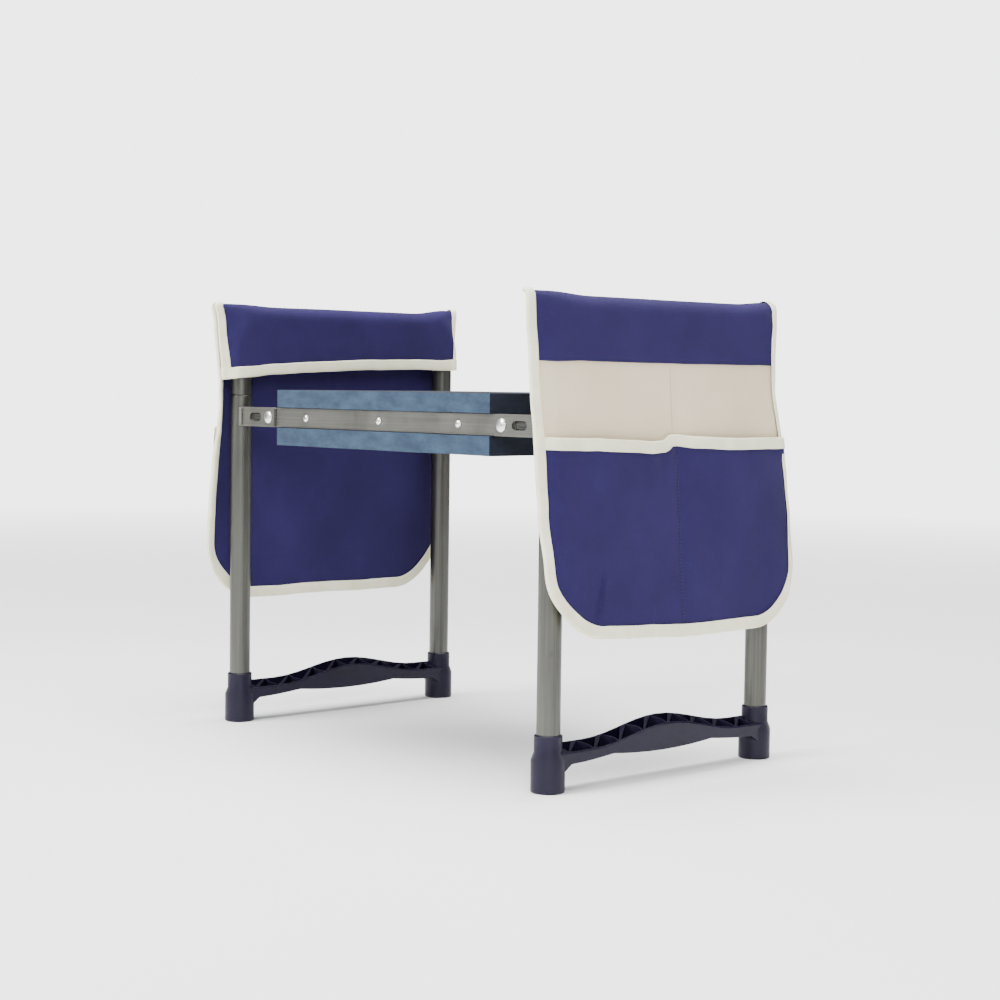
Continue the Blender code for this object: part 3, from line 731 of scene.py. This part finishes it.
    def bulge(self, y, z):
        """How far the pocket cloth stands off: two lobes, sewn at the edges, the middle and the bottom."""
        front, rear = self.limits(self.t_at(z))
        seam = self.seam_y(z)
        front += BINDING_WIDTH
        rear -= BINDING_WIDTH
        share = (y - front) / (seam - front) if y < seam else (rear - y) / (rear - seam)
        share = min(max(share, 0.0), 1.0)
        rise = min(max((z - self.shape["bottom"]) / (BULGE_TOP - self.shape["bottom"]), 0.0), 1.1)
        lobe = math.sin(math.pi * share**0.9) ** 0.62
        out = 7.5 * MM * lobe * (0.30 * math.sin(math.pi * rise / 1.15) + 0.85 * rise**1.7)
        out += self.creases(y, z, rise)
        return max(out, 0.0) + 3.4 * MM * self.flare(y, z, 0.035)

    def flare(self, y, z, reach):
        """1 at the end of the pocket mouth that gapes, fading down and along the cloth."""
        return smooth((z - 0.284) / 0.034) * smooth(1 - abs(y - self.shape["flare"]) / reach)

    def creases(self, y, z, rise):
        seed = self.shape["seed"]
        out = 0.7 * MM * ripple(y, z, seed + 13, 30 * MM) * smooth(rise * 3)
        top = math.exp(-max(BULGE_TOP - z, 0.0) / 0.016)
        out += top * MM * (2.2 * bump(y, -0.040, 0.007) - 1.6 * bump(y, -0.026, 0.006))
        if self.side > 0:
            line = -0.1035 - (0.192 - z) * 0.24
            length = smooth((z - 0.146) / 0.010) * smooth((0.200 - z) / 0.014)
            out += length * MM * (1.7 * bump(y, line + 3.0 * MM, 0.0026) - 1.9 * bump(y, line, 0.0022))
        return out

    def pocket(self, y, t, h=0.0):
        z = self.height(t)
        place = self.surface(y, t, LAYER + h)
        place.x += self.side * self.bulge(y, z)
        place.y += math.copysign(0.8 * MM, self.shape["flare"]) * self.flare(y, z, 0.020)
        return place

    def layers(self, t):
        """0 up to the fold, then rising to 1 where the top panel lies over the back panel."""
        return smooth((t - 0.2 * FOLD_LENGTH) / (0.9 * FOLD_LENGTH))

    def outline(self):
        """(y, t) round the edge, from the flap's front corner over the fold and the bottom to the rear."""
        flap_front = self.flap_t(self.shape["front"][-1][1] * MM)
        flap_rear = self.flap_t(self.shape["rear"][-1][1] * MM)
        straight = [i / 99 for i in range(100)]
        path = []
        corner_t = [self.t_at(z) for _, z in self.shape["corners"]]
        for share in straight:
            t = mix(flap_front, corner_t[0], share)
            path.append((self.limits(t)[0], t))
        path += self.corner(0, corner_t[0])
        (front_y, _), (rear_y, _) = self.shape["corners"]
        for i in range(1, 48):
            path.append((mix(front_y, rear_y, i / 48), self.bottom_t))
        path += self.corner(1, corner_t[1])[::-1]
        for share in straight:
            t = mix(corner_t[1], flap_rear, share)
            path.append((self.limits(t)[1], t))
        return path

    def corner(self, end, corner_t):
        """Points round one bottom corner, from the side edge to the bottom edge."""
        corner_y = self.shape["corners"][end][0]
        edge_y = self.edge(-1 if end == 0 else 1, self.shape["corners"][end][1])[0]
        points = []
        for i in range(1, 22):
            angle = math.pi / 2 * i / 21
            y = corner_y + (edge_y - corner_y) * math.cos(angle) ** (2 / CORNER_POWER)
            t = mix(corner_t, self.bottom_t, math.sin(angle) ** (2 / CORNER_POWER))
            points.append((y, t))
        return points


def with_normals(path):
    """(y, t, inward y, inward t, distance along) for a path that has the cloth on its inner side."""
    found = []
    distance = 0.0
    for i, (y, t) in enumerate(path):
        before = path[max(i - 1, 0)]
        after = path[min(i + 1, len(path) - 1)]
        run = math.hypot(after[0] - before[0], after[1] - before[1])
        if i:
            distance += math.hypot(y - path[i - 1][0], t - path[i - 1][1])
        found.append((y, t, (after[1] - before[1]) / run, -(after[0] - before[0]) / run, distance))
    return found


def tape_section(width, over, under):
    """Half-folded tape round an edge as (inward, height): over the outer face, round the edge, under."""
    middle = (over - under) / 2
    return [
        (width, over - 0.25 * MM),
        (0.93 * width, over),
        (0.5 * width, over + 0.12 * MM),
        (0.12 * width, over + 0.05 * MM),
        (-0.35 * MM, mix(middle, over, 0.75)),
        (-0.75 * MM, middle),
        (-0.35 * MM, mix(middle, -under, 0.75)),
        (0.12 * width, -under - 0.05 * MM),
        (0.5 * width, -under - 0.12 * MM),
        (0.93 * width, -under),
        (width, -under + 0.25 * MM),
    ]


def ribbon(name, path, place, section_at, seed):
    """Tape folded over the cloth's edge along path."""
    points = with_normals(path)
    sections = [section_at(t) for _, t, _, _, _ in points]

    def corner(i, j):
        y, t, inward_y, inward_t, distance = points[i]
        inward, h = sections[i][j]
        wander = 0.45 * MM * noise.noise(Vector((distance / 0.020, seed, 0.0)))
        puff = 0.12 * MM * noise.noise(Vector((distance / 0.006, seed, 4.0)))
        inward += wander
        return place(y + inward_y * inward, t + inward_t * inward, h + math.copysign(puff, h))

    rows = len(sections[0]) - 1
    size = (points[-1][4], 2.2 * BINDING_WIDTH)
    return cloth(name, len(points) - 1, rows, corner, size, TAPE_THICKNESS, (TAPE,))


def stitch_runs(path, place, inward, h):
    """Stitches along a path, inward from it, lying on the cloth at height h."""
    points = with_normals(path)
    runs = []
    total = points[-1][4]
    index = 0

    def at(distance, height):
        nonlocal index
        while index < len(points) - 2 and points[index + 1][4] < distance:
            index += 1
        a, b = points[index], points[index + 1]
        share = (distance - a[4]) / (b[4] - a[4])
        y, t, inward_y, inward_t = (mix(a[k], b[k], share) for k in range(4))
        return place(y + inward_y * inward, t + inward_t * inward, height)

    count = int((total - 4 * MM) / STITCH_PITCH)
    sign = math.copysign(1.0, h)
    for k in range(count):
        start = 2 * MM + k * STITCH_PITCH
        low = h - sign * 0.12 * MM
        high = h + sign * 0.16 * MM
        runs.append(
            [
                at(start, low),
                at(start + 0.3 * STITCH_LENGTH, high),
                at(start + 0.7 * STITCH_LENGTH, high),
                at(start + STITCH_LENGTH, low),
            ]
        )
    return runs


SHELL_COLUMNS = 110
PANEL_COLUMNS = 96


def make_shell(pouch):
    """Flap, fold over the bow and top panel, in one piece of canvas."""
    rows = 44
    lowest = pouch.t_at(CREAM_TOP - 0.4 * MM)

    def place(i, j):
        across = i / SHELL_COLUMNS
        guess = mix(*pouch.limits(0.0), across)
        t = mix(pouch.flap_t(guess), lowest, j / rows)
        y = mix(*pouch.limits(t), across)
        if t > 0:
            droop = 2.2 * smooth((abs(y) - 0.115) / 0.045)
            droop += 0.7 * ripple(y, 0, pouch.shape["seed"] + 1, 50 * MM)
            t += droop * MM * j / rows
        return pouch.surface(y, t, LAYER * pouch.layers(t))

    size = (0.334, 0.145)
    flip = pouch.side < 0
    name = f"{pouch.word}_pouch_shell"
    obj = cloth(name, SHELL_COLUMNS, rows, place, size, CLOTH_THICKNESS, (CANVAS,), flip)
    return obj, size


def panel_row_ts(pouch, top, rows_above, rows_round):
    """Row places down a panel, closer together round the bottom corners."""
    corner = pouch.t_at(max(z for _, z in pouch.shape["corners"]))
    straight = [mix(top, corner, i / rows_above) for i in range(rows_above)]
    turns = [math.pi / 2 * i / rows_round for i in range(rows_round + 1)]
    turned = [mix(corner, pouch.bottom_t, math.sin(turn)) for turn in turns]
    return straight + turned


def make_back_panel(pouch):
    """The panel that hangs from under the top panel: canvas towards the legs, cream lining outside."""
    ts = panel_row_ts(pouch, pouch.t_at(BACK_TOP), 46, 20)

    def place(i, j):
        t = ts[j]
        y = mix(*pouch.limits(t), i / PANEL_COLUMNS)
        z = pouch.height(t)
        shown = smooth((z - 0.321) / 0.006) * smooth((CREAM_TOP - 0.003 - z) / 0.006)
        ridge = SEAM_RIDGE * shown * bump(y, LINING_SEAM_Y, 3 * MM)
        return pouch.surface(y, t, ridge)

    size = (0.332, pouch.bottom_t - pouch.t_at(BACK_TOP))
    name = f"{pouch.word}_pouch_back_panel"
    flip = pouch.side < 0
    obj = cloth(name, PANEL_COLUMNS, len(ts) - 1, place, size, CLOTH_THICKNESS, (CANVAS, LINER), flip)
    return obj, size


def make_pocket_front(pouch):
    """Two pockets from one piece of canvas, sewn down the middle."""
    columns = 132
    ts = panel_row_ts(pouch, pouch.t_at(POCKET_ROWS_TOP), 40, 20)
    top_rows = 8

    def place(i, j):
        across = i / columns
        if j < top_rows:
            y = mix(*pouch.limits(pouch.t_at(MOUTH)), across)
            t = mix(pouch.t_at(pouch.mouth_z(y) - 0.4 * MM), ts[0], j / top_rows)
        else:
            t = ts[j - top_rows]
        y = mix(*pouch.limits(t), across)
        return pouch.pocket(y, t)

    rows = len(ts) - 1 + top_rows
    size = (0.345, pouch.bottom_t - pouch.t_at(0.318))
    name = f"{pouch.word}_pouch_pocket_front"
    flip = pouch.side < 0
    obj = cloth(name, columns, rows, place, size, CLOTH_THICKNESS, (CANVAS,), flip)
    return obj, size


def binding_width(pouch, t):
    return mix(BINDING_WIDTH, BINDING_BOTTOM_WIDTH, smooth((t - pouch.t_at(0.190)) / 0.045))


def binding_section(pouch, t):
    """The binding takes in one cloth on the flap and three on the outer side."""
    layers = pouch.layers(t) + 0.55 * smooth((t - pouch.t_at(0.332)) / 0.012)
    over = TAPE_HEIGHT + LAYER * layers
    ear = bump(t, 0.0, 0.9 * FOLD_LENGTH)
    return tape_section(binding_width(pouch, t), over + 0.7 * MM * ear, TAPE_HEIGHT)


def mouth_path(pouch):
    """The pocket mouth from the rear edge to the front edge, so that the cloth is on its inner side."""
    front, rear = pouch.limits(pouch.t_at(MOUTH))
    tucked = 3 * MM  # the end that goes under the binding, where the other end stands free
    rear_end = rear - 0.4 * MM if pouch.shape["flare"] > 0 else rear - tucked
    front_end = front - 0.6 * MM if pouch.shape["flare"] < 0 else front + tucked
    path = []
    for i in range(121):
        y = mix(rear_end, front_end, i / 120)
        path.append((y, pouch.t_at(pouch.mouth_z(y))))
    return path


def flap_path(pouch):
    """The flap's lower edge, with the cloth on its inner side."""
    front, rear = pouch.limits(pouch.t_at(FLAP_EDGE, inner=True))
    path = []
    for i in range(97):
        y = mix(front - 0.4 * MM, rear + 0.4 * MM, i / 96)
        path.append((y, pouch.flap_t(y)))
    return path


def make_tapes(pouch):
    seed = pouch.shape["seed"]
    binding = ribbon(
        f"{pouch.word}_pouch_binding",
        pouch.outline(),
        pouch.surface,
        lambda t: binding_section(pouch, t),
        seed,
    )
    mouth = ribbon(
        f"{pouch.word}_pouch_mouth_tape",
        mouth_path(pouch),
        pouch.pocket,
        lambda t: tape_section(TAPE_WIDTH, TAPE_HEIGHT, TAPE_HEIGHT),
        seed + 1,
    )
    flap = ribbon(
        f"{pouch.word}_pouch_flap_tape",
        flap_path(pouch)[::-1],
        pouch.surface,
        lambda t: tape_section(TAPE_WIDTH, FLAP_TAPE_HEIGHT, FLAP_TAPE_HEIGHT),
        seed + 2,
    )
    return binding, mouth, flap


def make_stitching(pouch):
    outline = pouch.outline()
    sewn = BINDING_WIDTH * 0.84
    outer = [(y, t) for y, t in outline if t > 0]
    inner_h = -(TAPE_HEIGHT + TAPE_THICKNESS / 2)
    flap_h = TAPE_HEIGHT + TAPE_THICKNESS / 2
    runs = stitch_runs(outer, pouch.surface, sewn, LAYER + flap_h)
    runs += stitch_runs(outer, pouch.surface, sewn, inner_h)
    for part in (outline[:30], outline[-30:]):
        flap_side = [(y, t) for y, t in part if t < -4 * MM]
        if len(flap_side) > 3:
            runs += stitch_runs(flap_side, pouch.surface, sewn, flap_h)
    mouth = mouth_path(pouch)
    runs += stitch_runs(mouth, pouch.pocket, TAPE_WIDTH * 0.86, flap_h)
    flap = flap_path(pouch)[::-1]
    runs += stitch_runs(flap, pouch.surface, TAPE_WIDTH * 0.86, FLAP_TAPE_HEIGHT + TAPE_THICKNESS / 2)
    return stitches(f"{pouch.word}_pouch_stitching", runs, CREAM_THREAD)


def make_seam(pouch):
    """Twin rows of navy stitches down the middle of the pockets."""
    runs = []
    seam = []
    for i in range(60):
        z = mix(pouch.shape["bottom"] + 0.012, POCKET_ROWS_TOP, i / 59)
        seam.append((pouch.seam_y(z), pouch.t_at(z)))
    for side in (-1, 1):
        runs += stitch_runs(seam, pouch.pocket, side * 1.0 * MM, CLOTH_THICKNESS / 2 + 0.1 * MM)
    return stitches(f"{pouch.word}_pouch_middle_seam", runs, NAVY_THREAD)


def make_lining_seam(pouch):
    """One row of stitches down the middle of the lining, between the top panel and the pockets."""
    seam = [(LINING_SEAM_Y, pouch.t_at(mix(0.384, 0.322, i / 20))) for i in range(21)]
    runs = stitch_runs(seam, pouch.surface, -0.6 * MM, SEAM_RIDGE + CLOTH_THICKNESS / 2)
    return stitches(f"{pouch.word}_pouch_lining_seam", runs, BEIGE_THREAD)


def make_pouch(word):
    pouch = Pouch(word)
    shell, shell_size = make_shell(pouch)
    back, back_size = make_back_panel(pouch)
    pocket, pocket_size = make_pocket_front(pouch)
    binding, mouth, flap = make_tapes(pouch)
    sewing = make_stitching(pouch)
    seam = make_seam(pouch)
    lining_seam = make_lining_seam(pouch)
    for obj in (shell, back, pocket, binding, mouth, flap, sewing, seam, lining_seam):
        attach(obj, pouch.body)
    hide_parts(f"{word}_pouch")
    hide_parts(f"{word}_pouch_pockets")


# --- stage ---------------------------------------------------------------------------------------


def make_floor():
    bm = bmesh.new()
    bmesh.ops.create_circle(bm, cap_ends=True, radius=14.0, segments=96)
    mesh = bpy.data.meshes.new("floor")
    bm.to_mesh(mesh)
    bm.free()
    floor = add_piece("floor", mesh, (pale_floor(),))
    floor.location.z = -0.2 * MM


def area_light(name, place, target, size, power):
    data = bpy.data.lights.new(name, "AREA")
    data.shape = "SQUARE"
    data.size = size
    data.energy = power
    obj = bpy.data.objects.new(name, data)
    obj.location = place
    obj.rotation_euler = (Vector(target) - Vector(place)).to_track_quat("-Z", "Y").to_euler()
    bpy.context.scene.collection.objects.link(obj)


def make_lights():
    world = bpy.data.worlds.new("studio")
    world.use_nodes = True
    tree = world.node_tree
    room = tree.nodes["Background"]
    room.inputs["Color"].default_value = (0.93, 0.94, 0.96, 1.0)
    room.inputs["Strength"].default_value = 0.13
    backdrop = tree.nodes.new("ShaderNodeBackground")
    backdrop.inputs["Color"].default_value = (*BACKDROP, 1.0)
    backdrop.inputs["Strength"].default_value = BACKDROP_STRENGTH
    seen = tree.nodes.new("ShaderNodeLightPath")
    both = tree.nodes.new("ShaderNodeMixShader")
    tree.links.new(seen.outputs["Is Camera Ray"], both.inputs["Fac"])
    tree.links.new(room.outputs[0], both.inputs[1])
    tree.links.new(backdrop.outputs[0], both.inputs[2])
    tree.links.new(both.outputs[0], tree.nodes["World Output"].inputs["Surface"])
    bpy.context.scene.world = world
    middle = (0, 0, 0.2)
    area_light("key", (-0.9, -2.6, 1.9), middle, 1.5, 150)
    area_light("fill", (2.4, -1.7, 1.5), middle, 1.0, 70)
    area_light("top", (0.1, 0.1, 2.6), middle, 2.4, 230)


CAMERA_PLACE = (1.5542, -1.3648, 0.3644)
CAMERA_LENS = 72.27
CAMERA_TURN = 48.383  # degrees round from looking along +Y
CAMERA_DIP = 3.24
CAMERA_ROLL = 0.735


def make_camera():
    data = bpy.data.cameras.new("camera")
    data.lens = CAMERA_LENS
    data.sensor_width = 36.0
    data.clip_start = 0.05
    turn, dip, roll = (math.radians(angle) for angle in (CAMERA_TURN, CAMERA_DIP, CAMERA_ROLL))
    ahead = Vector((-math.sin(turn) * math.cos(dip), math.cos(turn) * math.cos(dip), -math.sin(dip)))
    level = ahead.cross(Vector((0, 0, 1))).normalized()
    above = level.cross(ahead)
    right = level * math.cos(roll) + above * math.sin(roll)
    up = above * math.cos(roll) - level * math.sin(roll)
    matrix = Matrix((right, up, -ahead)).transposed().to_4x4()
    matrix.translation = Vector(CAMERA_PLACE)
    obj = bpy.data.objects.new("camera", data)
    obj.matrix_world = matrix
    bpy.context.scene.collection.objects.link(obj)
    bpy.context.scene.camera = obj


make_camera()
make_lights()
make_floor()
dress_frame()
make_pad("upper_foam_pad", "upper_pad", 0.9 * MM)
make_pad("lower_foam_pad", "lower_pad", 0.5 * MM)
make_pouch("right")
make_pouch("left")
